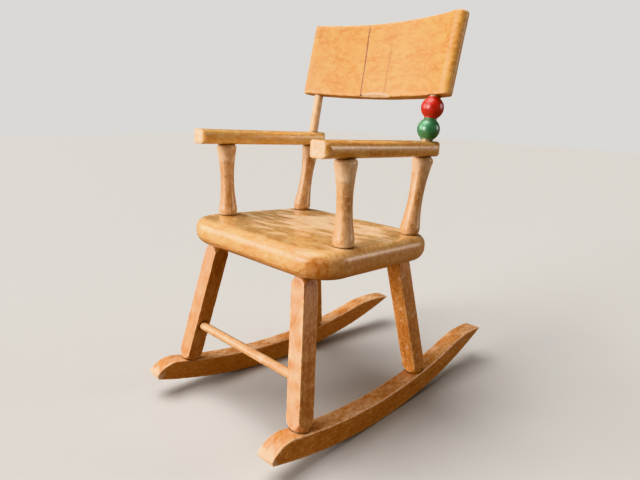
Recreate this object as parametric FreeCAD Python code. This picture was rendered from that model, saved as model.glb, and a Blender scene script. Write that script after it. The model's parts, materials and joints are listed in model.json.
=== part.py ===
import FreeCAD, Part
import math
import os
from FreeCAD import Matrix, Placement, Rotation, Vector

# Doll's rocking chair in beech.  Millimetres.  The chair faces -Y, +Z is up and X = 0 is its plane
# of symmetry.  "Left" and "right" are as seen by someone standing in front of the chair.
# The origin is on the floor, halfway between the front and back tips of the rockers.

# Rockers: flat bars with a curved sole, closer together at the back
ROCKER_SOLE_RADIUS = 470.0
ROCKER_TOP_RADIUS = 509.0
ROCKER_HEIGHT = 20.5            # at the place where the sole touches the floor
ROCKER_WIDTH = 17.4
ROCKER_TOUCH_Y = -20.1          # where the sole touches the floor
ROCKER_X = 76.7                 # middle of the bar at y = 0
ROCKER_TOE = 0.058              # how far a bar leans inwards per millimetre of y
ROCKER_FRONT_Y = -158.4         # the sole ends here, and a blunt tip goes up to the nose
ROCKER_FRONT_NOSE = (-159.6, 25.0)
ROCKER_FRONT_ROUND_MID = (-152.4, 30.9)
ROCKER_FRONT_ROUND_Y = -133.0   # the top starts to round down to the front nose here
ROCKER_BACK_Y = 158.9
ROCKER_BACK_NOSE = (160.1, 36.8)
ROCKER_BACK_ROUND_MID = (134.0, 38.9)
ROCKER_BACK_ROUND_Y = 106.0
ROCKER_ARRIS = 0.7

# Seat: a thick slab that falls a little towards the back
SEAT_TOP_Z = 167.9              # top surface at y = 0
SEAT_FALL = 0.045
SEAT_THICK = 24.0
SEAT_FRONT_Y = -116.5
SEAT_BACK_Y = 37.8
SEAT_FRONT_HALF = 96.3
SEAT_BACK_HALF = 88.2
SEAT_FRONT_CORNER = 33.0
SEAT_BACK_CORNER = 26.0
SEAT_TOP_ROUND = 9.0
SEAT_UNDER_ROUND = 12.0

# Legs: square bars, splayed and raked, with pencil-pointed ends
LEG_SIDE = 16.0
LEG_ARRIS = 0.7
LEG_POINT_LENGTH = 6.2          # of the cone, next to a short round neck
LEG_POINT_RADIUS = 7.6
LEG_NECK = 1.0
FRONT_LEG_FOOT = (82.6, -121.8)
FRONT_LEG_HEAD = (60.8, -98.9)
BACK_LEG_FOOT = (74.3, 39.3)
BACK_LEG_HEAD = (59.9, 18.4)

# Stretcher between the front legs
STRETCHER_Z = 67.8
STRETCHER_DIAMETER = 8.2

# Armrests: bars with rounded long sides
ARM_UNDER_Z = 237.7             # underside at y = 0
ARM_FALL = 0.035
ARM_THICK = 13.5
ARM_WIDTH = 20.3
ARM_SIDE_ROUND = 6.0
ARM_CORNER = 6.0
ARM_X = 75.0                    # centre line at y = 0
ARM_TOE = 0.042
ARM_FRONT_Y = -108.0
ARM_BACK_Y = 43.2

# Turned supports under the armrests, at the front, and the back posts behind them
SUPPORT_FOOT = (79.0, -75.6)
SUPPORT_HEAD = (79.0, -76.4)
POST_FOOT = (73.3, 16.6)
POST_HEAD = (74.0, 39.7)
POST_HEAD_Z = 288.2
TURNED_FOOT_RADIUS = 7.7
TURNED_LOW_RADIUS = 8.9
TURNED_WAIST_RADIUS = 6.4
TURNED_HIGH_RADIUS = 9.3
TURNED_HEAD_RADIUS = 6.9
TURNED_LOW_Z = 6.0              # fullest place of the foot, above the seat
TURNED_HIGH_DROP = 4.6          # fullest place of the head, below the armrest
TURNED_ANKLE = (8.5, 2.7)       # radius, and height above the seat
TURNED_NECK = (8.8, 1.6)        # radius, and distance below the armrest
POST_DOWEL_RADIUS = 4.5

# Backboard: a curved board that leans back, hollow towards the sitter
BOARD_RADIUS = 293.4            # of the hollow front face
BOARD_HALF_WIDTH = 91.4         # along the curve
BOARD_HEIGHT = 71.9
BOARD_THICK = 13.5
BOARD_LEAN = 13.36              # degrees
BOARD_FOOT = (42.9, 288.2)      # y and z of the front face's lower edge, at x = 0
BOARD_ARRIS = 1.6

# Painted beads that turn on the right-hand post
BEAD_RADIUS = 10.0
BEAD_HALF_LENGTH = 9.45
BEAD_RIM_RADIUS = 5.6
BEAD_CLEARANCE = 0.09

# Glued joints: round tenons in blind bores
TENON_RADIUS = 4.5
TENON_LENGTH = 11.0
ARM_TENON_LENGTH = 9.0
BOARD_TENON_LENGTH = 16.0
GLUE_GAP = 0.04                 # radial, and at the shoulders
BORE_SPARE = 0.5                # spare depth past the end of a tenon
PAST = 4.0                      # how far a turned end runs on before it is cut to its seat
NEAR = 0.1                      # picks out edges in a plane
HUGE = 600.0

SIDES = {"left": -1, "right": 1}


def soften(shape, radius, edges):
    """Round the given edges, and insist that the result is a valid solid."""
    rounded = shape.makeFillet(radius, edges)
    if not rounded.isValid():
        raise RuntimeError("fillet failed")
    return rounded


def single_solid(shape):
    """The one solid that a boolean made, with its split faces joined."""
    solids = shape.removeSplitter().Solids
    if len(solids) != 1:
        raise RuntimeError("expected one solid, got %d" % len(solids))
    return solids[0]


def half_space(height, fall, above):
    """A block above or below the plane z = height - fall * y."""
    low = 0.0 if above else -HUGE
    block = Part.makeBox(2 * HUGE, 2 * HUGE, HUGE, Vector(-HUGE, -HUGE, low))
    tilt = Rotation(Vector(1, 0, 0), -math.degrees(math.atan(fall)))
    block.Placement = Placement(Vector(0, 0, height), tilt)
    return block


def seat_top_z(y):
    return SEAT_TOP_Z - SEAT_FALL * y


def seat_under_z(y):
    return seat_top_z(y) - SEAT_THICK * math.hypot(1, SEAT_FALL)


def arm_under_z(y):
    return ARM_UNDER_Z - ARM_FALL * y


def arm_top_z(y):
    return arm_under_z(y) + ARM_THICK * math.hypot(1, ARM_FALL)


def rocker_sole_z(y):
    return ROCKER_SOLE_RADIUS - math.sqrt(ROCKER_SOLE_RADIUS ** 2 - (y - ROCKER_TOUCH_Y) ** 2)


def rocker_top_z(y):
    reach = ROCKER_TOP_RADIUS ** 2 - (y - ROCKER_TOUCH_Y) ** 2
    return ROCKER_HEIGHT + ROCKER_TOP_RADIUS - math.sqrt(reach)


def point(place, z):
    return Vector(place[0], place[1], z)


def mirrored(vector, side):
    return Vector(side * vector.x, vector.y, vector.z)


def axis_ends(kind, side):
    """Foot and head of a leg, support or post, on its centre line."""
    if kind == "front_leg":
        ends = point(FRONT_LEG_FOOT, rocker_top_z(FRONT_LEG_FOOT[1])), \
            point(FRONT_LEG_HEAD, seat_under_z(FRONT_LEG_HEAD[1]))
    elif kind == "back_leg":
        ends = point(BACK_LEG_FOOT, rocker_top_z(BACK_LEG_FOOT[1])), \
            point(BACK_LEG_HEAD, seat_under_z(BACK_LEG_HEAD[1]))
    elif kind == "support":
        ends = point(SUPPORT_FOOT, seat_top_z(SUPPORT_FOOT[1])), \
            point(SUPPORT_HEAD, arm_under_z(SUPPORT_HEAD[1]))
    else:
        ends = point(POST_FOOT, seat_top_z(POST_FOOT[1])), point(POST_HEAD, POST_HEAD_Z)
    return mirrored(ends[0], side), mirrored(ends[1], side)


def along(foot, head):
    return (head - foot).normalize()


def where_axis_meets(foot, direction, height, fall):
    """Where a line from foot meets the plane z = height - fall * y."""
    distance = (height - fall * foot.y - foot.z) / (direction.z + fall * direction.y)
    return foot + direction * distance


def rod(start, direction, radius, length):
    return Part.makeCylinder(radius, length, start, direction)


def bore(mouth, inwards, radius, depth):
    """A blind hole's cutter, which starts outside the mouth."""
    start = mouth - inwards * PAST
    return rod(start, inwards, radius + GLUE_GAP, PAST + depth + BORE_SPARE)


def slab_outline(front_y, back_y, front_half, back_half, front_corner, back_corner):
    """A closed outline with round corners, wider at the front."""
    corners = [Vector(front_half, front_y, 0), Vector(back_half, back_y, 0),
               Vector(-back_half, back_y, 0), Vector(-front_half, front_y, 0)]
    radii = [front_corner, back_corner, back_corner, front_corner]
    edges = []
    stops = []
    for number, corner in enumerate(corners):
        before = (corners[number - 1] - corner).normalize()
        after = (corners[(number + 1) % 4] - corner).normalize()
        half_angle = before.getAngle(after) / 2
        run = radii[number] / math.tan(half_angle)
        bisector = (before + after).normalize()
        centre = corner + bisector * (radii[number] / math.sin(half_angle))
        middle = centre - bisector * radii[number]
        stops.append((corner + before * run, middle, corner + after * run))
    for number, (start, middle, end) in enumerate(stops):
        edges.append(Part.Arc(start, middle, end).toShape())
        edges.append(Part.LineSegment(end, stops[(number + 1) % 4][0]).toShape())
    return Part.Wire(edges)


def rocker_blank():
    """The right-hand bar before it is bored, standing in the plane x = 0."""
    front = Vector(0, ROCKER_FRONT_Y, rocker_sole_z(ROCKER_FRONT_Y))
    back = Vector(0, ROCKER_BACK_Y, rocker_sole_z(ROCKER_BACK_Y))
    front_top = Vector(0, ROCKER_FRONT_ROUND_Y, rocker_top_z(ROCKER_FRONT_ROUND_Y))
    back_top = Vector(0, ROCKER_BACK_ROUND_Y, rocker_top_z(ROCKER_BACK_ROUND_Y))
    front_nose = Vector(0, *ROCKER_FRONT_NOSE)
    back_nose = Vector(0, *ROCKER_BACK_NOSE)
    outline = Part.Wire([
        Part.Arc(front, Vector(0, ROCKER_TOUCH_Y, 0), back).toShape(),
        Part.LineSegment(back, back_nose).toShape(),
        Part.Arc(back_nose, Vector(0, *ROCKER_BACK_ROUND_MID), back_top).toShape(),
        Part.Arc(back_top, Vector(0, ROCKER_TOUCH_Y, ROCKER_HEIGHT), front_top).toShape(),
        Part.Arc(front_top, Vector(0, *ROCKER_FRONT_ROUND_MID), front_nose).toShape(),
        Part.LineSegment(front_nose, front).toShape(),
    ])
    bar = Part.Face(outline).extrude(Vector(ROCKER_WIDTH, 0, 0))
    bar.translate(Vector(-ROCKER_WIDTH / 2, 0, 0))
    return soften(bar, ROCKER_ARRIS, bar.Edges)


def rocker_placement(side):
    turn = Rotation(Vector(0, 0, 1), side * math.degrees(math.atan(ROCKER_TOE)))
    return Placement(Vector(side * ROCKER_X, 0, 0), turn)


def above_rocker(side):
    """Everything above the curved top of a rocker, as far as a foot reaches."""
    centre = Vector(-HUGE, ROCKER_TOUCH_Y, ROCKER_HEIGHT + ROCKER_TOP_RADIUS)
    drum = Part.makeCylinder(ROCKER_TOP_RADIUS - GLUE_GAP, 2 * HUGE, centre, Vector(1, 0, 0))
    drum.Placement = rocker_placement(side).multiply(drum.Placement)
    return drum


def make_rocker(side):
    bar = rocker_blank()
    bar.Placement = rocker_placement(side)
    for kind in ("front_leg", "back_leg"):
        foot, head = axis_ends(kind, side)
        bar = bar.cut(bore(foot, along(head, foot), TENON_RADIUS, TENON_LENGTH))
    return single_solid(bar)


def make_leg(kind, side):
    """A square bar with conical ends, coped to the rocker and the seat, with a tenon at each end."""
    foot, head = axis_ends(kind, side)
    up = along(foot, head)
    length = (head - foot).Length
    back = (Vector(0, 1, 0) - up * up.y).normalize()
    across = back.cross(up)
    square = Part.makeBox(LEG_SIDE, LEG_SIDE, length + 2 * PAST,
                          Vector(-LEG_SIDE / 2, -LEG_SIDE / 2, -PAST))
    long_edges = [edge for edge in square.Edges if edge.Length > length]
    square = soften(square, LEG_ARRIS, long_edges)
    corner = LEG_SIDE
    slope = (corner - LEG_POINT_RADIUS) * LEG_POINT_LENGTH \
        / (LEG_SIDE / math.sqrt(2) - LEG_POINT_RADIUS)
    profile = [Vector(0, 0, -PAST), Vector(LEG_POINT_RADIUS, 0, -PAST),
               Vector(LEG_POINT_RADIUS, 0, LEG_NECK), Vector(corner, 0, LEG_NECK + slope),
               Vector(corner, 0, length - LEG_NECK - slope),
               Vector(LEG_POINT_RADIUS, 0, length - LEG_NECK),
               Vector(LEG_POINT_RADIUS, 0, length + PAST), Vector(0, 0, length + PAST)]
    envelope = Part.Face(Part.makePolygon(profile + [profile[0]])).revolve(
        Vector(0, 0, 0), Vector(0, 0, 1), 360)
    leg = square.common(envelope)
    leg.Placement = Placement(Matrix(across.x, back.x, up.x, foot.x,
                                     across.y, back.y, up.y, foot.y,
                                     across.z, back.z, up.z, foot.z,
                                     0, 0, 0, 1))
    leg = leg.common(above_rocker(side))
    leg = leg.common(half_space(seat_under_z(0) - GLUE_GAP, SEAT_FALL, False))
    tenons = rod(foot - up * TENON_LENGTH, up, TENON_RADIUS, length + 2 * TENON_LENGTH)
    leg = leg.fuse(tenons)
    if kind == "front_leg":
        middle = stretcher_end(side)
        leg = leg.cut(rod(middle - Vector(side * (LEG_SIDE + BORE_SPARE), 0, 0), Vector(side, 0, 0),
                          STRETCHER_DIAMETER / 2 + GLUE_GAP, LEG_SIDE + 2 * BORE_SPARE))
    return single_solid(leg)


def stretcher_end(side):
    """The place on a front leg's centre line at the height of the stretcher."""
    foot, head = axis_ends("front_leg", side)
    up = along(foot, head)
    return foot + up * ((STRETCHER_Z - foot.z) / up.z)


def make_stretcher():
    end = stretcher_end(1)
    return rod(Vector(-end.x, end.y, end.z), Vector(1, 0, 0), STRETCHER_DIAMETER / 2, 2 * end.x)


def make_seat():
    outline = slab_outline(SEAT_FRONT_Y, SEAT_BACK_Y, SEAT_FRONT_HALF, SEAT_BACK_HALF,
                           SEAT_FRONT_CORNER, SEAT_BACK_CORNER)
    slab = Part.Face(outline).extrude(Vector(0, 0, -SEAT_THICK))
    top = [edge for edge in slab.Edges if edge.BoundBox.ZMin > -NEAR]
    slab = soften(slab, SEAT_TOP_ROUND, top)
    under = [edge for edge in slab.Edges if edge.BoundBox.ZMax < NEAR - SEAT_THICK]
    slab = soften(slab, SEAT_UNDER_ROUND, under)
    tilt = Rotation(Vector(1, 0, 0), -math.degrees(math.atan(SEAT_FALL)))
    slab.Placement = Placement(Vector(0, 0, SEAT_TOP_Z), tilt)
    for side in SIDES.values():
        for kind in ("front_leg", "back_leg"):
            foot, head = axis_ends(kind, side)
            slab = slab.cut(bore(head, along(foot, head), TENON_RADIUS, TENON_LENGTH))
        for kind in ("support", "post"):
            foot, head = axis_ends(kind, side)
            slab = slab.cut(bore(foot, along(head, foot), TENON_RADIUS, TENON_LENGTH))
    return single_solid(slab)


def turned_body(length):
    """The bone-shaped turning between the seat and an armrest, a little long at both ends."""
    high = length - TURNED_HIGH_DROP
    middle = (TURNED_LOW_Z + high) / 2
    ankle = Vector(TURNED_ANKLE[0], 0, TURNED_ANKLE[1])
    neck = Vector(TURNED_NECK[0], 0, length - TURNED_NECK[1])
    foot = Vector(TURNED_FOOT_RADIUS, 0, 0)
    low = Vector(TURNED_LOW_RADIUS, 0, TURNED_LOW_Z)
    waist = Vector(TURNED_WAIST_RADIUS, 0, middle)
    full = Vector(TURNED_HIGH_RADIUS, 0, high)
    head = Vector(TURNED_HEAD_RADIUS, 0, length)
    bottom = Vector(0, 0, -PAST)
    top = Vector(0, 0, length + PAST)
    below = Vector(TURNED_FOOT_RADIUS, 0, -PAST)
    above = Vector(TURNED_HEAD_RADIUS, 0, length + PAST)
    profile = Part.Wire([
        Part.LineSegment(bottom, below).toShape(),
        Part.LineSegment(below, foot).toShape(),
        Part.Arc(foot, ankle, low).toShape(),
        Part.Arc(low, waist, full).toShape(),
        Part.Arc(full, neck, head).toShape(),
        Part.LineSegment(head, above).toShape(),
        Part.LineSegment(above, top).toShape(),
        Part.LineSegment(top, bottom).toShape(),
    ])
    return Part.Face(profile).revolve(Vector(0, 0, 0), Vector(0, 0, 1), 360)


def make_turning(kind, side):
    """A support or a back post, seated on the seat and under the armrest."""
    foot, head = axis_ends(kind, side)
    up = along(foot, head)
    under_arm = where_axis_meets(foot, up, ARM_UNDER_Z, ARM_FALL)
    body = turned_body((under_arm - foot).Length)
    body.Placement = Placement(foot, Rotation(Vector(0, 0, 1), up))
    body = body.common(half_space(SEAT_TOP_Z + GLUE_GAP, SEAT_FALL, True))
    body = body.common(half_space(ARM_UNDER_Z - GLUE_GAP, ARM_FALL, False))
    if kind == "support":
        reach = (under_arm - foot).Length + ARM_TENON_LENGTH
    else:
        reach = (head - foot).Length + BOARD_TENON_LENGTH
    core = rod(foot - up * TENON_LENGTH, up, TENON_RADIUS, TENON_LENGTH + reach)
    return single_solid(body.fuse(core))


def make_armrest(side):
    length = ARM_BACK_Y - ARM_FRONT_Y
    bar = Part.makeBox(ARM_WIDTH, length, ARM_THICK, Vector(-ARM_WIDTH / 2, ARM_FRONT_Y, 0))
    long_edges = [edge for edge in bar.Edges if edge.Length > length - NEAR]
    bar = soften(bar, ARM_SIDE_ROUND, long_edges)
    plan = slab_outline(ARM_FRONT_Y, ARM_BACK_Y, ARM_WIDTH / 2, ARM_WIDTH / 2, ARM_CORNER, ARM_CORNER)
    bar = bar.common(Part.Face(plan).extrude(Vector(0, 0, ARM_THICK)))
    tilt = Rotation(Vector(1, 0, 0), -math.degrees(math.atan(ARM_FALL)))
    turn = Rotation(Vector(0, 0, 1), side * math.degrees(math.atan(ARM_TOE)))
    bar.Placement = Placement(Vector(side * ARM_X, 0, ARM_UNDER_Z), turn.multiply(tilt))
    foot, head = axis_ends("support", side)
    up = along(foot, head)
    mouth = where_axis_meets(foot, up, ARM_UNDER_Z, ARM_FALL)
    bar = bar.cut(bore(mouth, up, TENON_RADIUS, ARM_TENON_LENGTH))
    foot, head = axis_ends("post", side)
    bar = bar.cut(rod(foot, along(foot, head), POST_DOWEL_RADIUS + GLUE_GAP, HUGE))
    return single_solid(bar)


def on_curve(radius, angle):
    """A point of the board's section, with the middle of its front face at the origin."""
    return Vector(radius * math.sin(angle), radius * math.cos(angle) - BOARD_RADIUS, 0)


def make_backboard():
    outer = BOARD_RADIUS + BOARD_THICK
    middle = BOARD_RADIUS + BOARD_THICK / 2
    end = (BOARD_HALF_WIDTH - BOARD_THICK / 2) / BOARD_RADIUS
    nose = Vector(math.cos(end), -math.sin(end), 0) * (BOARD_THICK / 2)
    left_nose = Vector(-nose.x, nose.y, 0)
    section = Part.Wire([
        Part.Arc(on_curve(BOARD_RADIUS, -end), Vector(0, 0, 0), on_curve(BOARD_RADIUS, end)).toShape(),
        Part.Arc(on_curve(BOARD_RADIUS, end), on_curve(middle, end) + nose, on_curve(outer, end)).toShape(),
        Part.Arc(on_curve(outer, end), Vector(0, BOARD_THICK, 0), on_curve(outer, -end)).toShape(),
        Part.Arc(on_curve(outer, -end), on_curve(middle, -end) + left_nose,
                 on_curve(BOARD_RADIUS, -end)).toShape(),
    ])
    board = Part.Face(section).extrude(Vector(0, 0, BOARD_HEIGHT))
    rim = [edge for edge in board.Edges if edge.BoundBox.ZLength < NEAR]
    board = soften(board, BOARD_ARRIS, rim)
    lean = Rotation(Vector(1, 0, 0), -BOARD_LEAN)
    board.Placement = Placement(Vector(0, *BOARD_FOOT), lean)
    for side in SIDES.values():
        foot, head = axis_ends("post", side)
        board = board.cut(bore(head, along(foot, head), POST_DOWEL_RADIUS, BOARD_TENON_LENGTH))
    return single_solid(board)


def bead_centre(level):
    """The middle of the lower (0) or upper (1) bead on the right-hand post."""
    foot, head = axis_ends("post", 1)
    up = along(foot, head)
    arm_normal = Vector(0, ARM_FALL, 1)
    seat = where_axis_meets(foot, up, arm_top_z(0), ARM_FALL)
    tilt = up.getAngle(arm_normal)
    first = BEAD_HALF_LENGTH + BEAD_RIM_RADIUS * math.tan(tilt) + GLUE_GAP
    return seat + up * (first + level * (2 * BEAD_HALF_LENGTH + GLUE_GAP))


def make_bead(level):
    foot, head = axis_ends("post", 1)
    up = along(foot, head)
    centre = bead_centre(level)
    ball = Part.makeSphere(BEAD_RADIUS, centre)
    rims = rod(centre - up * BEAD_HALF_LENGTH, up, BEAD_RIM_RADIUS, 2 * BEAD_HALF_LENGTH)
    hole = rod(centre - up * BEAD_RADIUS, up, POST_DOWEL_RADIUS + BEAD_CLEARANCE, 2 * BEAD_RADIUS)
    return single_solid(ball.fuse(rims).cut(hole))


def all_nodes():
    nodes = {"seat": make_seat(), "front_stretcher": make_stretcher(), "backboard": make_backboard(),
             "bead_green": make_bead(0), "bead_red": make_bead(1)}
    for name, side in SIDES.items():
        nodes["rocker_" + name] = make_rocker(side)
        nodes["front_leg_" + name] = make_leg("front_leg", side)
        nodes["back_leg_" + name] = make_leg("back_leg", side)
        nodes["arm_support_" + name] = make_turning("support", side)
        nodes["back_post_" + name] = make_turning("post", side)
        nodes["armrest_" + name] = make_armrest(side)
    return nodes


os.makedirs("parts", exist_ok=True)
for node, shape in all_nodes().items():
    shape.exportStep("parts/%s.step" % node)
    box = shape.BoundBox
    print("%-18s %9.0f mm3  x %.1f %.1f  y %.1f %.1f  z %.1f %.1f"
          % (node, shape.Volume, box.XMin, box.XMax, box.YMin, box.YMax, box.ZMin, box.ZMax))
axis_foot, axis_head = axis_ends("post", 1)
print("bead axis", along(axis_foot, axis_head), "centres", bead_centre(0), bead_centre(1))
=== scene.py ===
import json
import math

import bmesh
import bpy
import numpy as np
from mathutils import Matrix, Vector
from mathutils.kdtree import KDTree


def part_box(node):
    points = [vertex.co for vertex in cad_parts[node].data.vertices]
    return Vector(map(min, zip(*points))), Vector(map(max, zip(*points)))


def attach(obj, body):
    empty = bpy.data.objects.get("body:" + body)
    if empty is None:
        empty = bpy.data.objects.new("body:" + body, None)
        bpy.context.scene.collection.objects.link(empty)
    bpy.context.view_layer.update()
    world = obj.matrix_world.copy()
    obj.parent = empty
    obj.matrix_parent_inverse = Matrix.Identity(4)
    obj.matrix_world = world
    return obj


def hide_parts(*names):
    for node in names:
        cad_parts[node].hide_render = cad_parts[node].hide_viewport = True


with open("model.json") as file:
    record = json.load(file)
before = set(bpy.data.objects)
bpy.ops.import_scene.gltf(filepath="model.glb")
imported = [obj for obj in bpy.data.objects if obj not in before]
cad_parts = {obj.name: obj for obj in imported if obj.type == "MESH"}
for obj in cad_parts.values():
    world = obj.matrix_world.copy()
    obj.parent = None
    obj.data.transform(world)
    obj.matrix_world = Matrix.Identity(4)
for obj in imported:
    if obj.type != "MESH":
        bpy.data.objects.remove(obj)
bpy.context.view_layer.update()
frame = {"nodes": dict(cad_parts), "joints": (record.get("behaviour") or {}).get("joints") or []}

# Doll's rocking chair in old varnished beech, with two painted beads.
# The scene is in metres. How deep wear goes, and the grain's coordinates, are in millimetres.
MM = 0.001

# Camera: in front of the chair and to its right, a little above the seat
CAMERA_PLACE = (0.3604, -0.3742, 0.2790)
CAMERA_AZIMUTH = 45.885
CAMERA_ELEVATION = 14.084
CAMERA_ROLL = 1.536
CAMERA_LENS = 30.32
CAMERA_NEAR = 0.01

# Wooden pieces, by kind: voxel size (mm), rounds of smoothing, how uneven the faces are and how
# ragged the arrises are (mm)
WOOD = {
    "seat": (1.0, 5, 0.16, 0.05),
    "rocker": (0.62, 4, 0.10, 0.16),
    "front_leg": (0.52, 3, 0.10, 0.20),
    "back_leg": (0.52, 3, 0.10, 0.18),
    "front_stretcher": (0.5, 4, 0.08, 0.02),
    "arm_support": (0.5, 4, 0.06, 0.04),
    "back_post": (0.5, 4, 0.06, 0.04),
    "armrest": (0.6, 4, 0.10, 0.08),
    "backboard": (0.75, 2, 0.10, 0.05),
}
SAME_PLACE = 1e-6               # CAD vertices this close are one vertex
FIRST_SEED = 100                # each piece has a few seeds of its own
SEEDS_PER_PIECE = 10

# Wear, and painted shade near the next piece
ARRIS_ROUNDS = 10               # rounds of averaging that tell an arris from a face
ARRIS_FULL = 0.22 * MM          # an arris this proud of its surroundings is fully worn
CREASE_REACH = 2.2 * MM         # dirt and painted shade darken the wood this close to the next piece
INSIDE = 0.6 * MM               # a neighbour further in than this is a hidden tenon
SWELL_LENGTH = 0.030            # the faces' unevenness, nicks and chips: their lengths in metres
NICK_LENGTH = 0.006
CHIP_LENGTH = 0.008
NICKS = 0.1, 1.3                # the noise at which nicks and chips begin, and where they are full
CHIPS = 1.35, 1.9
NICK_LEAST = 0.35               # an arris is eased this much where it has no nick
CHIP_SHARE = 2.2                # a chip's depth, against the arris's raggedness
END_GRAIN = 0.72, 0.93          # how squarely a face ends the grain: not yet, and fully
NEAR_FLOOR = 0.2 * MM, 1.5 * MM  # no wear below the first height, all of it above the second
GRAIN_SHIFT = 400               # each piece is cut from another part of the tree (mm)

# Two drying checks in the board: x at top and foot (mm), start and stop up its height, strength
CHECKS = ((-21.5, -16.5, 0.0, 1.0, 0.95), (10.5, 12.7, 0.06, 0.74, 0.62))
CHECK_DEPTH = 0.3
BOARD_CHIP_MIDDLE = 1.2         # a bare chip out of the board's lower front arris (mm)
BOARD_CHIP_HALF = 19.5
BOARD_CHIP_REACH = 4.4          # how far it spreads from the arris
BOARD_CHIP_DEPTH = 2.1
BOARD_CHIP_BARE = 2             # past 1, so that little varnish is left in it
BOARD_MIDDLE = 60               # the arris is measured this far to either side of the middle (mm)
RUB_DEPTH = 0.08                # bare places lie this much lower (mm)

# Beads (metres)
BEAD_RADIUS = 10.0 * MM
BEAD_HOLE = 4.6 * MM
BEAD_RIM = 5.6 * MM
BEAD_STEPS = 44
BEAD_SLICES = 96
BEAD_RINGS = 19                 # faint turning rings
BEAD_RING_HEIGHT = 0.02 * MM
BEAD_SKIN = 0.03 * MM           # the rings stay inside the ball

# Colours
PALE = (0.90, 0.62, 0.36, 1)
END_PALE = (0.92, 0.78, 0.62, 1)
END_DARK = (0.80, 0.55, 0.34, 1)
# bare wood; also the painted light on the front legs' front faces
BARE = (0.90, 0.75, 0.58, 1)
BARE_GREY = (0.72, 0.53, 0.36, 1)
PAINTED_SHADE_TONE = (0.46, 0.16, 0.015, 1)   # painted shade: a darker, deeper tone under the seat, on its right side and at its front corner
# dirt with painted shade: in creases, at joints, and on the beads' rims and holes
GRIME_AND_SHADE = (0.10, 0.035, 0.012, 1)
CRACK = (0.20, 0.075, 0.028, 1)

# Beech as it has aged on each piece: dark, middle and light tone, speckle, end grain's paleness,
# roughness under the varnish, and how much varnish there is
BEECH = {
    "beech_seat": ((0.57, 0.275, 0.080, 1), (0.71, 0.43, 0.160, 1), (0.84, 0.62, 0.32, 1),
                   0.12, 0.12, 0.30, 0.95),
    "beech_board": ((0.50, 0.21, 0.038, 1), (0.61, 0.31, 0.072, 1), (0.74, 0.46, 0.14, 1),
                    0.15, 0.12, 0.44, 0.45),
    "beech_arm": ((0.55, 0.245, 0.055, 1), (0.65, 0.35, 0.105, 1), (0.77, 0.51, 0.20, 1),
                  0.20, 0.95, 0.34, 0.95),
    # painted light: a paler copy of the arm's beech for the left armrest, as if lit more strongly
    "beech_pale_arm": ((0.80, 0.43, 0.13, 1), (0.88, 0.57, 0.22, 1), (0.95, 0.72, 0.37, 1),
                       0.20, 0.95, 0.34, 0.95),
    "beech_straw": ((0.50, 0.245, 0.095, 1), (0.64, 0.38, 0.18, 1), (0.78, 0.55, 0.34, 1),
                    0.22, 0.6, 0.30, 0.95),
    "beech_amber": ((0.50, 0.19, 0.045, 1), (0.60, 0.26, 0.070, 1), (0.69, 0.37, 0.14, 1),
                    0.60, 0.85, 0.38, 0.95),
    "beech_russet": ((0.46, 0.17, 0.045, 1), (0.58, 0.26, 0.085, 1), (0.70, 0.41, 0.20, 1),
                     0.35, 0.6, 0.38, 0.95),
}
FINISH = {
    "seat": "beech_seat", "backboard": "beech_board", "armrest": "beech_arm",
    "armrest_left": "beech_pale_arm", "rocker": "beech_amber", "front_leg": "beech_russet",
    "back_leg": "beech_amber", "front_stretcher": "beech_straw", "arm_support": "beech_straw",
    "back_post": "beech_straw",
}
ENAMEL = {                      # the deep and the bright tone of each bead's paint
    "green": ((0.060, 0.21, 0.105, 1), (0.110, 0.32, 0.175, 1)),
    "red": ((0.46, 0.026, 0.018, 1), (0.66, 0.055, 0.035, 1)),
}

# Patterns in the wood: cycles per mm along and across the grain, detail, roughness, distortion
PATTERNS = {
    "bands": (0.010, 0.15, 3, 0.5, 0.5),
    "mottle": (0.050, 0.085, 5, 0.62, 0.3),
    "fibres": (0.09, 1.4, 3, 0.6, 0.0),
    "dashes": (0.28, 0.85, 2, 0.55, 0.0),
    "flecks": (0.17, 0.36, 3, 0.6, 0.3),
    "specks": (0.55, 0.62, 2, 0.55, 0.0),
    "wear": (0.18, 0.30, 5, 0.68, 0.0),
}
COAT_ROUGHNESS = 0.27
WOOD_IOR = 1.42

# Soft suns: the direction they shine from, strength, and how wide they look (degrees)
LIGHTS = {
    "window": ((-0.25, -1.25, 0.27), 2.75, 27),
    "fill": ((-1.05, -0.85, 0.32), 1.5, 32),
    "back": ((0.85, 0.95, 0.24), 0.95, 26),
    "overhead": ((-0.30, -0.35, 1.12), 3.1, 50),
}
LIGHT_COLOUR = (1.0, 0.98, 0.955)
SURROUNDINGS = (0.20, 0.165, 0.13, 1)   # the room's own soft, warm light
BACKDROP = (0.80, 0.79, 0.775, 1)       # how the studio looks behind the chair
FLOOR = (0.56, 0.56, 0.555, 1)
FLOOR_BOUNCE = (0.26, 0.19, 0.13, 1)    # the floor throws little light back up
FLOOR_ROUGHNESS = 0.85
FLOOR_SIZE = 8
VIEW_GAMMA = 0.8


def link(thing):
    bpy.context.scene.collection.objects.link(thing)
    return thing


def kind_of(node):
    return node.replace("_left", "").replace("_right", "")


# ---------------------------------------------------------------- meshes

def vertices(mesh):
    points = np.empty(len(mesh.vertices) * 3)
    mesh.vertices.foreach_get("co", points)
    return points.reshape(-1, 3)


def normals(mesh):
    found = np.empty(len(mesh.vertices) * 3, np.float32)
    mesh.vertex_normals.foreach_get("vector", found)
    return found.reshape(-1, 3).astype(float)


def edges(mesh):
    pairs = np.empty(len(mesh.edges) * 2, np.int32)
    mesh.edges.foreach_get("vertices", pairs)
    return pairs.reshape(-1, 2)


def averaged(values, pairs, rounds):
    """Each vertex's place mixed with its neighbours', a few times."""
    first, second = pairs.T
    count = len(values)
    neighbours = np.bincount(pairs.ravel(), minlength=count)[:, None]
    for _ in range(rounds):
        total = np.stack([np.bincount(first, column[second], count)
                          + np.bincount(second, column[first], count) for column in values.T], 1)
        values = 0.5 * values + 0.5 * total / neighbours
    return values


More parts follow.
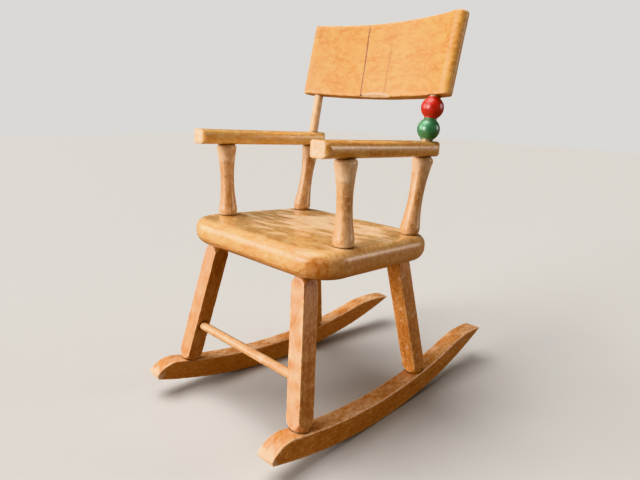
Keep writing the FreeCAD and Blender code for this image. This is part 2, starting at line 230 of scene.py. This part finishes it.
def waves(points, length, seed, count=9):
    """Smooth noise from -1 to 1 or so: crossing sine waves of about the given length."""
    chance = np.random.default_rng(seed)
    total = np.zeros(len(points))
    for _ in range(count):
        direction = chance.normal(size=3)
        stretch = chance.uniform(0.7, 1.6)
        direction *= 2 * math.pi / (length * stretch * np.linalg.norm(direction))
        total += np.sin(points @ direction + chance.uniform(0, 2 * math.pi))
    return total / math.sqrt(count)


def smooth_step(low, high, values):
    share = np.clip((values - low) / (high - low), 0, 1)
    return share * share * (3 - 2 * share)


def store(mesh, name, values):
    """Keep one number, or one vector, per vertex for the materials to read."""
    kind, field = ("FLOAT_VECTOR", "vector") if values.ndim == 2 else ("FLOAT", "value")
    layer = mesh.attributes.new(name, kind, "POINT")
    layer.data.foreach_set(field, values.astype(np.float32).ravel())


def apply_modifiers(thing):
    evaluated = thing.evaluated_get(bpy.context.evaluated_depsgraph_get())
    mesh = bpy.data.meshes.new_from_object(evaluated)
    thing.modifiers.clear()
    old = thing.data
    thing.data = mesh
    bpy.data.meshes.remove(old)


def remeshed(node):
    """A copy of a CAD node in small even faces, with its arrises eased."""
    voxel, rounds = WOOD[kind_of(node)][:2]
    mesh = frame["nodes"][node].data.copy()
    mesh.materials.clear()
    work = bmesh.new()
    work.from_mesh(mesh)
    bmesh.ops.remove_doubles(work, verts=work.verts, dist=SAME_PLACE)
    work.to_mesh(mesh)
    work.free()
    piece = link(bpy.data.objects.new(node + "_wood", mesh))
    remesh = piece.modifiers.new("remesh", "REMESH")
    remesh.mode = "VOXEL"
    remesh.voxel_size = voxel * MM
    remesh.use_smooth_shade = True
    ease = piece.modifiers.new("ease", "SMOOTH")
    ease.factor = 0.5
    ease.iterations = rounds
    apply_modifiers(piece)
    return piece


def grain_frame(points):
    """The middle of a piece, and its long, middle and short directions; the grain runs along it."""
    middle = points.mean(0)
    _, directions = np.linalg.eigh(np.cov((points - middle).T))
    directions = directions[:, ::-1].T
    for direction in directions:
        if direction[np.argmax(np.abs(direction))] < 0:
            direction *= -1
    return middle, directions


def crease(points, outward, node, others):
    """How near each vertex is to a neighbouring piece outside it, from 0 to 1."""
    near = np.zeros(len(points))
    low, high = (np.array(corner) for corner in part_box(node))
    for other, neighbour in others.items():
        other_low, other_high = (np.array(corner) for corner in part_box(other))
        from_corner = np.maximum(low, other_low) - CREASE_REACH
        to_corner = np.minimum(high, other_high) + CREASE_REACH
        if other == node or np.any(from_corner > to_corner):
            continue
        inside = np.all((neighbour > from_corner) & (neighbour < to_corner), 1)
        mine = np.nonzero(np.all((points > from_corner) & (points < to_corner), 1))[0]
        if not inside.any() or not len(mine):
            continue
        tree = KDTree(int(inside.sum()))
        for number, place in enumerate(neighbour[inside]):
            tree.insert(place, number)
        tree.balance()
        nearest = np.array([tree.find(points[number])[0] for number in mine])
        away = nearest - points[mine]
        outside = (away * outward[mine]).sum(1) > -INSIDE
        close = 1 - smooth_step(0, CREASE_REACH, np.linalg.norm(away, axis=1))
        near[mine] = np.maximum(near[mine], close * outside)
    return near


def finish_wood(piece, node, seed, others):
    """Wear the arrises, make the faces uneven, and store what the varnish and grain follow."""
    uneven, ragged = WOOD[kind_of(node)][2:]
    mesh = piece.data
    points, outward = vertices(mesh), normals(mesh)
    proud = ((points - averaged(points, edges(mesh), ARRIS_ROUNDS)) * outward).sum(1)
    arris = np.clip(proud / ARRIS_FULL, 0, 1)
    middle, directions = grain_frame(points)
    near = crease(points, outward, node, others)
    marks = MARKS[kind_of(node)](points, outward)

    nicks = smooth_step(*NICKS, waves(points, NICK_LENGTH, seed + 1))
    chips = smooth_step(*CHIPS, waves(points, CHIP_LENGTH, seed + 2))
    depth = uneven * (0.5 + 0.5 * waves(points, SWELL_LENGTH, seed))
    depth += ragged * arris * (NICK_LEAST + nicks)
    depth += CHIP_SHARE * ragged * arris * chips
    depth += marks.get("depth", 0)
    above_floor = smooth_step(*NEAR_FLOOR, points[:, 2])
    points -= outward * (np.maximum(depth, 0) * (1 - near) * above_floor * MM)[:, None]
    mesh.vertices.foreach_set("co", points.ravel())

    shift = np.random.default_rng(seed).uniform(-GRAIN_SHIFT, GRAIN_SHIFT, 3)
    store(mesh, "grain", (points - middle) @ directions.T / MM + shift)
    store(mesh, "arris", arris)
    store(mesh, "crease", near)
    store(mesh, "end_grain", smooth_step(*END_GRAIN, np.abs(outward @ directions[0])))
    for layer in ("bare", "line", "pool"):
        store(mesh, layer, marks.get(layer, np.zeros(len(points))))
    mesh.update()


# ---------------------------------------------------------------- marks of use, painted light and painted shade, by kind of piece
# Each gives shares per vertex: bare wood (with painted light on the front legs), lines and painted
# shade, and a depth in millimetres.

def board_marks(points, outward):
    """Two drying checks, and a bare chip out of the lower front arris."""
    low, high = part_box("backboard")
    up = (points[:, 2] - low.z) / (high.z - low.z)
    across, behind, above = (points / MM).T
    front = outward[:, 1] < -0.5
    wander = 0.22 * waves(points, 0.022, 31)
    line = np.zeros(len(points))
    groove = np.zeros(len(points))
    for top, foot, start, stop, strength in CHECKS:
        away = np.abs(across - (foot + (top - foot) * up + wander))
        along = smooth_step(start - 0.02, start + 0.05, up)
        along *= 1 - smooth_step(stop - 0.12, stop + 0.02, up)
        share = front * along * strength
        line = np.maximum(line, share * (1 - smooth_step(0.3, 1.9, away)))
        groove = np.maximum(groove, share * CHECK_DEPTH * (1 - smooth_step(0.1, 1.0, away)))

    arris = (outward[:, 2] < -0.45) & (outward[:, 1] < -0.45) & (np.abs(across) < BOARD_MIDDLE)
    from_arris = np.hypot(*(place - np.polyval(np.polyfit(across[arris], place[arris], 2), across)
                            for place in (behind, above)))
    lens = np.sqrt(np.clip(1 - ((across - BOARD_CHIP_MIDDLE) / BOARD_CHIP_HALF) ** 2, 0, 1))
    spread = from_arris / (BOARD_CHIP_REACH * np.maximum(lens, 0.01))
    return {"line": np.clip(line, 0, 1), "bare": BOARD_CHIP_BARE * (1 - smooth_step(0.75, 1.0, spread)),
            "depth": groove + BOARD_CHIP_DEPTH * lens * np.clip(1 - spread, 0, 1)}


def seat_marks(points, outward):
    """A rubbed patch on top; painted shade underneath, on the right side and at the front corner."""
    low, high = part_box("seat")
    across = (points[:, 0] - low.x) / (high.x - low.x)
    back = (points[:, 1] - low.y) / (high.y - low.y)
    right, behind, up = outward.T
    top = smooth_step(0.80, 0.98, up)
    streaks = waves(points * np.array([0.30, 1, 1]), 0.012, 41, 14)
    streaks += 0.7 * waves(points * np.array([0.12, 1, 1]), 0.0034, 42, 14)
    sitting = np.exp(-((across - 0.50) / 0.50) ** 2 - ((back - 0.62) / 0.38) ** 2)
    rubbed = 0.95 * top * smooth_step(0.36, 1.20, 1.20 * sitting + 0.40 * streaks)
    # painted shade: darker underneath, on the right side and at the front right corner
    under = smooth_step(0.0, 0.8, -up)
    side = smooth_step(0.0, 0.9, right) * smooth_step(0.9, 0.2, up)
    corner = smooth_step(0.25, 0.6, right) * smooth_step(0.25, 0.6, -behind)
    corner *= smooth_step(0.85, 0.3, up)
    return {"bare": rubbed, "depth": RUB_DEPTH * rubbed,
            "pool": np.maximum(under, np.maximum(0.75 * side, 1.25 * corner))}


def front_leg_marks(points, outward):
    """Painted light on the legs' front faces, which face the lamps, with thin varnish there too; most
    of all on the right leg's.
    """
    # painted light: faces turned to the front are made paler, like bare wood
    front = smooth_step(0.6, 0.9, -outward[:, 1])
    patches = 0.62 + 0.25 * waves(points, 0.012, 71, 12)
    lit_and_worn_side = np.where(points[:, 0] > 0, 0.75, 0.35)
    return {"bare": np.clip(lit_and_worn_side * front * patches, 0, 1)}


def turning_marks(node):
    """A turned post is rubbed pale near both ends."""
    def marks(points, outward):
        foot_height, arm_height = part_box(node)[0].z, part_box("armrest_right")[0].z
        height = points[:, 2]
        from_end = np.minimum(height - foot_height, arm_height - height) - 10 * MM
        ends = 1 - smooth_step(3 * MM, 14 * MM, from_end)
        patches = 0.22 + 0.35 * waves(points, 0.009, 81, 12)
        tips = 1 - smooth_step(1.5 * MM, 4 * MM, from_end)
        return {"bare": np.clip(ends * patches + 0.5 * tips, 0, 0.85)}
    return marks


def plain_marks(points, outward):
    """Small rubbed places, here and there."""
    spots = smooth_step(0.95, 1.75, waves(points, 0.011, 51, 12))
    return {"bare": 0.5 * spots, "depth": RUB_DEPTH * spots}


def rocker_marks(points, outward):
    """The tops are rubbed pale by feet, and the sole and front tip by the floor."""
    front_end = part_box("rocker_right")[0].y
    top = smooth_step(0.6, 0.9, outward[:, 2])
    sole = smooth_step(0.5, 0.9, -outward[:, 2])
    worn = 0.42 + 0.3 * waves(points, 0.020, 61) + 0.25 * waves(points, 0.005, 62)
    reach = 9 * MM + 3 * MM * waves(points, 0.007, 63)
    tip = 1 - smooth_step(front_end + 1 * MM, front_end + reach, points[:, 1])
    return {"bare": np.clip(top * worn * 0.65 + sole * worn + 1.2 * tip, 0, 1)}


MARKS = {
    "seat": seat_marks, "backboard": board_marks, "rocker": rocker_marks,
    "front_leg": front_leg_marks, "back_leg": plain_marks, "armrest": plain_marks,
    "front_stretcher": plain_marks, "arm_support": turning_marks("arm_support_right"),
    "back_post": turning_marks("back_post_right"),
}


# ---------------------------------------------------------------- materials

class Nodes:
    """The node tree of a material or a world, with short ways to add nodes to it."""

    def __init__(self, owner):
        owner.use_nodes = True
        self.tree = owner.node_tree
        self.shader = self.tree.nodes.get("Principled BSDF")

    def feed(self, socket, value):
        if isinstance(value, bpy.types.NodeSocket):
            self.tree.links.new(value, socket)
        else:
            socket.default_value = value

    def shade(self, **inputs):
        for name, value in inputs.items():
            self.feed(self.shader.inputs[name.replace("_", " ")], value)

    def add(self, kind, out, settings=(), **inputs):
        node = self.tree.nodes.new(kind)
        for name, value in settings:
            setattr(node, name, value)
        for name, value in inputs.items():
            self.feed(node.inputs[name.replace("_", " ")], value)
        return node.outputs[out]

    def attribute(self, name, out="Fac"):
        return self.add("ShaderNodeAttribute", out, [("attribute_name", name)])

    def noise(self, vector, factors, detail, rough, distortion=0.0):
        """Noise over a vector scaled by a factor in each direction."""
        scaled = self.tree.nodes.new("ShaderNodeVectorMath")
        scaled.operation = "MULTIPLY"
        self.feed(scaled.inputs[0], vector)
        scaled.inputs[1].default_value = factors
        return self.add("ShaderNodeTexNoise", "Fac", Vector=scaled.outputs[0], Scale=1.0,
                        Detail=detail, Roughness=rough, Distortion=distortion)

    def ramp(self, value, low, high, start=0.0, end=1.0):
        return self.add("ShaderNodeMapRange", "Result", [("interpolation_type", "SMOOTHSTEP")],
                        Value=value, From_Min=low, From_Max=high, To_Min=start, To_Max=end)

    def calculate(self, operation, first, second, third=0.0, clamp=False):
        node = self.tree.nodes.new("ShaderNodeMath")
        node.operation = operation
        node.use_clamp = clamp
        for socket, value in zip(node.inputs, (first, second, third)):
            self.feed(socket, value)
        return node.outputs[0]

    def mix(self, share, first, second):
        node = self.tree.nodes.new("ShaderNodeMix")
        node.data_type = "RGBA"
        colours = [socket for socket in node.inputs if socket.type == "RGBA"]
        self.feed(node.inputs[0], share)
        self.feed(colours[0], first)
        self.feed(colours[1], second)
        return [socket for socket in node.outputs if socket.type == "RGBA"][0]

    def layers(self, colour, table):
        """Lay colours over one another, each by a ramp over a pattern."""
        for pattern, low, high, start, end, tint in table:
            colour = self.mix(self.ramp(pattern, low, high, start, end), colour, tint)
        return colour

    def relief(self, table):
        """Bumps on bumps: pattern, height in millimetres, strength."""
        normal = None
        for pattern, height, strength in table:
            below = {} if normal is None else {"Normal": normal}
            normal = self.add("ShaderNodeBump", "Normal", Height=pattern, Distance=height * MM,
                              Strength=strength, **below)
        return normal


def darker(colour, share):
    return tuple(share * part for part in colour[:3]) + (1,)


def wood(name, dark, middle, light, speckle, end_paleness, gloss, coat):
    """Varnished beech: bands and mottling, fibres, flecks, worn arrises, dirt and painted shade near
    other pieces, painted shade on the seat, bare wood, and painted light on the front legs.
    """
    material = bpy.data.materials.new(name)
    nodes = Nodes(material)
    grain = nodes.attribute("grain", "Vector")
    arris, bare, dirt_and_shade, end_grain, line, pool = (
        nodes.attribute(layer) for layer in ("arris", "bare", "crease", "end_grain", "line", "pool"))
    bands, mottle, fibres, dashes, flecks, specks, wear = (
        nodes.noise(grain, (along, across, across), detail, rough, distortion)
        for along, across, detail, rough, distortion in PATTERNS.values())
    deep = darker(dark, 0.45)

    colour = nodes.mix(nodes.ramp(bands, 0.30, 0.70), dark, middle)
    colour = nodes.layers(colour, (
        (mottle, 0.36, 0.70, 0.0, 0.85, light),
        (fibres, 0.30, 0.58, 0.50, 0.0, dark),
        (fibres, 0.52, 0.74, 0.0, 0.40, light),
        (flecks, 0.53, 0.62, 0.0, 0.72, light),
        (flecks, 0.46, 0.36, 0.0, 0.42, dark),
        (dashes, 0.56, 0.70, 0.0, 0.60, light),
        (dashes, 0.40, 0.28, 0.0, 0.30, deep),
        (specks, 0.59, 0.69, 0.0, speckle, PALE),
        (specks, 0.38, 0.29, 0.0, speckle, deep),
    ))
    # painted shade on the seat's underside, right side and front corner
    colour = nodes.mix(nodes.calculate("MULTIPLY", pool, 0.75), colour, PAINTED_SHADE_TONE)
    end_colour = nodes.mix(nodes.ramp(wear, 0.35, 0.65), END_DARK, END_PALE)
    colour = nodes.mix(nodes.calculate("MULTIPLY", end_grain, end_paleness), colour, end_colour)
    worn = nodes.calculate("MULTIPLY", arris, nodes.ramp(wear, 0.40, 0.57, 0.15, 0.80))
    colour = nodes.mix(worn, colour, PALE)
    # bare wood, and painted light on the front legs' front faces
    bare_and_lit_share = nodes.calculate("MULTIPLY", bare, nodes.ramp(wear, 0.28, 0.60, 0.50, 0.95))
    weathered = nodes.calculate("MULTIPLY", mottle, 0.4)
    weathered = nodes.calculate("MULTIPLY_ADD", fibres, 0.6, weathered)
    bare_and_lit_colour = nodes.mix(nodes.ramp(weathered, 0.36, 0.62), BARE_GREY, BARE)
    colour = nodes.mix(bare_and_lit_share, colour, bare_and_lit_colour)
    # painted shade: wood near a neighbouring piece is darkened where shade falls, with some dirt
    grime_and_shade = nodes.calculate("MULTIPLY", dirt_and_shade, nodes.ramp(wear, 0.36, 0.62, 0.22, 0.85))
    colour = nodes.mix(grime_and_shade, colour, GRIME_AND_SHADE)
    colour = nodes.mix(line, colour, CRACK)

    rough = nodes.ramp(wear, 0.3, 0.7, gloss, gloss + 0.14)
    rough = nodes.calculate("MULTIPLY_ADD", bare_and_lit_share, 0.30, rough)
    rough = nodes.calculate("MULTIPLY_ADD", nodes.calculate("ADD", worn, end_grain), 0.14, rough)
    rough = nodes.calculate("MULTIPLY_ADD", grime_and_shade, 0.25, rough, clamp=True)
    lost = nodes.calculate("ADD", bare_and_lit_share, grime_and_shade)
    varnish = nodes.calculate("SUBTRACT", coat, lost, clamp=True)
    nodes.shade(Base_Color=colour, Roughness=rough, Coat_Weight=varnish,
                Coat_Roughness=COAT_ROUGHNESS, IOR=WOOD_IOR,
                Normal=nodes.relief(((fibres, 0.04, 0.5), (dashes, 0.06, 0.5), (wear, 0.07, 0.5))))
    return material


def paint(name, deep, bright):
    """Old gloss enamel on a turned bead: turning lines, rubbed rims, dust with painted shade on the
    rims and in the hole, and fine scratches.
    """
    material = bpy.data.materials.new(name)
    nodes = Nodes(material)
    spin, rim = nodes.attribute("spin", "Vector"), nodes.attribute("rim")
    rings = nodes.noise(spin, (0.0, 0.0, 2.3), 3, 0.6)
    cloud = nodes.noise(spin, (0.16, 0.16, 0.20), 3, 0.55)
    fine = nodes.noise(spin, (1.4, 1.4, 2.6), 3, 0.6)
    colour = nodes.mix(nodes.ramp(cloud, 0.32, 0.68), deep, bright)
    colour = nodes.layers(colour, (
        (rings, 0.35, 0.60, 0.45, 0.0, darker(deep, 0.5)),
        (rings, 0.56, 0.74, 0.0, 0.22, PALE),
        (fine, 0.66, 0.76, 0.0, 0.25, PALE),
    ))
    rubbed = nodes.calculate("MULTIPLY", rim, nodes.ramp(fine, 0.38, 0.58, 0.10, 0.70))
    colour = nodes.mix(rubbed, colour, PALE)
    # painted shade: the rims and hole, where the beads touch, are darkened, with some dust
    colour = nodes.mix(nodes.calculate("MULTIPLY", rim, 0.65), colour, GRIME_AND_SHADE)
    nodes.shade(Base_Color=colour, Roughness=nodes.ramp(fine, 0.3, 0.7, 0.38, 0.50),
                Coat_Weight=1.0, Coat_Roughness=COAT_ROUGHNESS,
                Normal=nodes.relief(((rings, 0.10, 0.5), (fine, 0.03, 0.4))))
    return material


# ---------------------------------------------------------------- beads

def bead_profile(half):
    """Radius and height round half a bead's section: hole, flat rim, ball, flat rim, hole."""
    rim_angle = max(math.acos(min(1.0, (half - 0.25 * MM) / BEAD_RADIUS)),
                    math.asin(BEAD_RIM / BEAD_RADIUS))
    foot = [(BEAD_HOLE, -half + 0.5 * MM), (BEAD_HOLE + 0.25 * MM, -half + 0.06 * MM),
            (BEAD_RIM - 0.35 * MM, -half), (BEAD_RIM - 0.08 * MM, -half + 0.12 * MM),
            (BEAD_RIM, -half + 0.45 * MM)]
    ball = []
    for step in range(BEAD_STEPS + 1):
        angle = -math.pi / 2 + rim_angle + (math.pi - 2 * rim_angle) * step / BEAD_STEPS
        radius = BEAD_RADIUS + BEAD_RING_HEIGHT * math.sin(BEAD_RINGS * angle) - BEAD_SKIN
        ball.append((radius * math.cos(angle), radius * math.sin(angle)))
    return foot + ball + [(radius, -height) for radius, height in reversed(foot)]


def turned(name, profile):
    """A closed mesh: the profile turned about the Z axis."""
    work = bmesh.new()
    grid = []
    for slice_number in range(BEAD_SLICES):
        turn = 2 * math.pi * slice_number / BEAD_SLICES
        grid.append([work.verts.new((radius * math.cos(turn), radius * math.sin(turn), height))
                     for radius, height in profile])
    for slice_number, here in enumerate(grid):
        there = grid[(slice_number + 1) % BEAD_SLICES]
        for step in range(len(profile)):
            following = (step + 1) % len(profile)
            work.faces.new((here[step], there[step], there[following], here[following]))
    bmesh.ops.recalc_face_normals(work, faces=work.faces)
    mesh = bpy.data.meshes.new(name)
    work.to_mesh(mesh)
    work.free()
    mesh.shade_smooth()
    return mesh


def bead(node, joint, material):
    """A turned bead: a slightly uneven ball with flat rims round its hole."""
    middle, axis = Vector(joint["pos_m"]), Vector(joint["axis"]).normalized()
    low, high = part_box(node)
    half = (high.z - low.z) / (2 * axis.z) - BEAD_RIM * math.sqrt(1 - axis.z ** 2) / axis.z
    mesh = turned(node + "_paint", bead_profile(half))
    points = vertices(mesh)
    radius, height = np.hypot(points[:, 0], points[:, 1]), np.abs(points[:, 2])
    ends = smooth_step(half - 0.5 * MM, half - 0.1 * MM, height)
    hole = 1 - smooth_step(BEAD_HOLE, BEAD_HOLE + 0.5 * MM, radius)
    store(mesh, "rim", np.maximum(ends, hole))
    store(mesh, "spin", points / MM)
    mesh.transform(Matrix.Translation(middle) @ axis.to_track_quat("Z", "Y").to_matrix().to_4x4())
    mesh.materials.append(material)
    piece = link(bpy.data.objects.new(node + "_paint", mesh))
    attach(piece, node)
    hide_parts(node)


# ---------------------------------------------------------------- stage, lights and camera

def two_tone(nodes, bounced, seen):
    """One plain tone for what the camera sees, and another for the light that goes back."""
    return nodes.mix(nodes.add("ShaderNodeLightPath", "Is Camera Ray"), bounced, seen)


def add_floor():
    bpy.ops.mesh.primitive_grid_add(size=FLOOR_SIZE, x_subdivisions=4, y_subdivisions=4)
    floor = bpy.context.object
    floor.name = "floor"
    material = bpy.data.materials.new("floor")
    nodes = Nodes(material)
    nodes.shade(Base_Color=two_tone(nodes, FLOOR_BOUNCE, FLOOR), Roughness=FLOOR_ROUGHNESS)
    floor.data.materials.append(material)


def add_lights():
    for name, (direction, strength, width) in LIGHTS.items():
        data = bpy.data.lights.new(name, "SUN")
        data.energy = strength
        data.angle = math.radians(width)
        data.color = LIGHT_COLOUR
        light = link(bpy.data.objects.new(name, data))
        light.rotation_euler = Vector(direction).to_track_quat("Z", "Y").to_euler()
    world = bpy.data.worlds.new("studio")
    bpy.context.scene.world = world
    nodes = Nodes(world)
    nodes.feed(nodes.tree.nodes["Background"].inputs["Color"],
               two_tone(nodes, SURROUNDINGS, BACKDROP))


def add_camera():
    azimuth, elevation = math.radians(CAMERA_AZIMUTH), math.radians(CAMERA_ELEVATION)
    back = Vector((math.sin(azimuth) * math.cos(elevation),
                   -math.cos(azimuth) * math.cos(elevation), math.sin(elevation)))
    roll = Matrix.Rotation(math.radians(CAMERA_ROLL), 3, "Z")
    turn = back.to_track_quat("Z", "Y").to_matrix() @ roll
    data = bpy.data.cameras.new("camera")
    data.lens = CAMERA_LENS
    data.clip_start = CAMERA_NEAR
    camera = link(bpy.data.objects.new("camera", data))
    camera.matrix_world = Matrix.Translation(CAMERA_PLACE) @ turn.to_4x4()
    bpy.context.scene.camera = camera


# ---------------------------------------------------------------- build

beech = {name: wood(name, *look) for name, look in BEECH.items()}
wooden = [node for node in sorted(frame["nodes"]) if kind_of(node) in WOOD]
pieces = {node: remeshed(node) for node in wooden}
surfaces = {node: vertices(piece.data) for node, piece in pieces.items()}
for number, (node, piece) in enumerate(pieces.items()):
    finish_wood(piece, node, FIRST_SEED + SEEDS_PER_PIECE * number, surfaces)
    piece.data.materials.append(beech[FINISH.get(node, FINISH[kind_of(node)])])
    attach(piece, "chair")
    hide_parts(node)

joints = {joint["child"]: joint for joint in frame["joints"]}
for hue, tones in ENAMEL.items():
    bead("bead_" + hue, joints["bead_" + hue], paint(hue + "_enamel", *tones))

add_floor()
add_lights()
add_camera()
bpy.context.scene.view_settings.view_transform = "Khronos PBR Neutral"
bpy.context.scene.view_settings.gamma = VIEW_GAMMA
